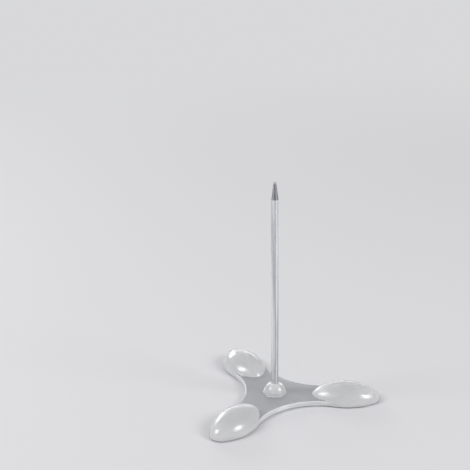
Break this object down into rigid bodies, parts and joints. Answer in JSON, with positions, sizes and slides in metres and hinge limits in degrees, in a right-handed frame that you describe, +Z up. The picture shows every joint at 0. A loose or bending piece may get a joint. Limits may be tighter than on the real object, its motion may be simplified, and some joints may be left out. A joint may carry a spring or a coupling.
{
  "type": "bill spike",
  "caption": "Bill spike: a pointed plated-steel rod standing in the hub of a clear moulded base with egg-shaped domed lobes, for impaling slips of paper on a desk.",
  "frame": {"origin": "on the rod's axis, at the surface that the feet stand on, which is the middle of the hub foot's underside", "axes": "+Z up along the rod towards its point, +X along the arm of the base that carries right_foot"},
  "size_m": [0.0832, 0.0938, 0.1157],
  "materials": {
    "clear_polystyrene": "clear, slightly grey, glossy injection moulding",
    "plated_steel": "bright nickel plate on drawn steel wire, ground point",
    "rubber_foot": "matt, pale anti-slip rubber, cut from sheet"
  },
  "bodies": {
    "base": {"base": "clear_polystyrene", "right_foot": "rubber_foot", "back_foot": "rubber_foot", "front_foot": "rubber_foot", "hub_foot": "rubber_foot"},
    "spike": {"spike": "plated_steel"}
  },
  "joints": [
    {"name": "spike_pull", "type": "slide", "parent": "base", "child": "spike", "axis": [0, 0, 1], "range_m": [0, 0.02]}
  ]
}
